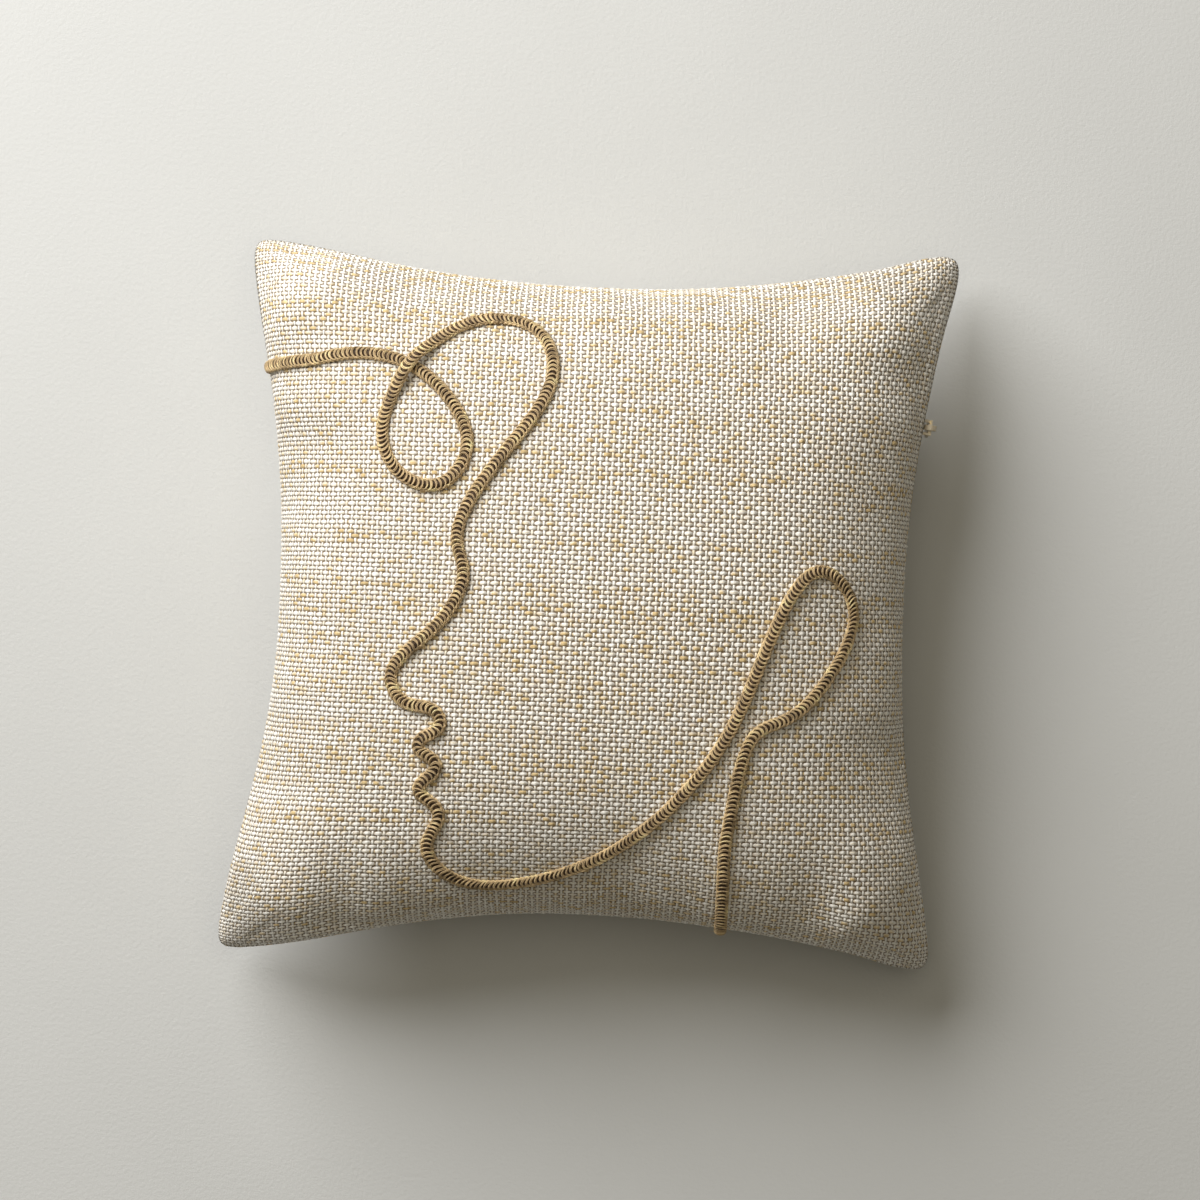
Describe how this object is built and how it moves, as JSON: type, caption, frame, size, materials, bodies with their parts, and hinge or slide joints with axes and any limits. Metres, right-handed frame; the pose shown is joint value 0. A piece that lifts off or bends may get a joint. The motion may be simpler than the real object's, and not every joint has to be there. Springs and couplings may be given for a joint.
{
  "type": "ring bearer pillow",
  "caption": "Small square cushion of coarse woven cloth with a couched jute cord line drawing on its front, a concealed side zip and a fibre-filled insert.",
  "frame": {"origin": "centre of the bounding box, at the bottom, where the pillow rests on its back", "axes": "+Z out of the front, +Y to the top of the drawing, +X to the right, seen from the front"},
  "size_m": [0.1874, 0.1874, 0.0733],
  "materials": {
    "woven_cloth": "matte",
    "jute_cord": "matte",
    "sewing_thread": "matte",
    "casing_cotton": "matte",
    "polyester_fibre": "matte",
    "zip_tape_cloth": "matte",
    "zip_coil_nylon": "satin",
    "zip_metal": "satin"
  },
  "bodies": {
    "pillow": {"front_panel": "woven_cloth", "back_panel": "woven_cloth", "line_cord": "jute_cord", "couching_thread": "sewing_thread", "seam_thread": "sewing_thread", "casing_thread": "sewing_thread", "casing_front": "casing_cotton", "casing_back": "casing_cotton", "fibre_fill": "polyester_fibre", "zip_tape_front": "zip_tape_cloth", "zip_tape_back": "zip_tape_cloth", "zip_coil_front": "zip_coil_nylon", "zip_coil_back": "zip_coil_nylon", "zip_thread_front": "sewing_thread", "zip_thread_back": "sewing_thread", "zip_top_stop": "zip_metal", "zip_bottom_stop": "zip_metal"},
    "slider": {"zip_slider": "zip_metal"},
    "pull": {"zip_pull": "zip_metal"}
  },
  "joints": [
    {"name": "zip_travel", "type": "hinge", "parent": "pillow", "child": "slider", "pos_m": [0.47241, 0, 0.033], "axis": [0, 0, 1], "range_deg": [0, 14.77]},
    {"name": "pull_swing", "type": "hinge", "parent": "slider", "child": "pull", "pos_m": [0.08891, 0.0497, 0.033], "axis": [-0.1285, -0.9917, 0], "range_deg": [0, 165]}
  ]
}
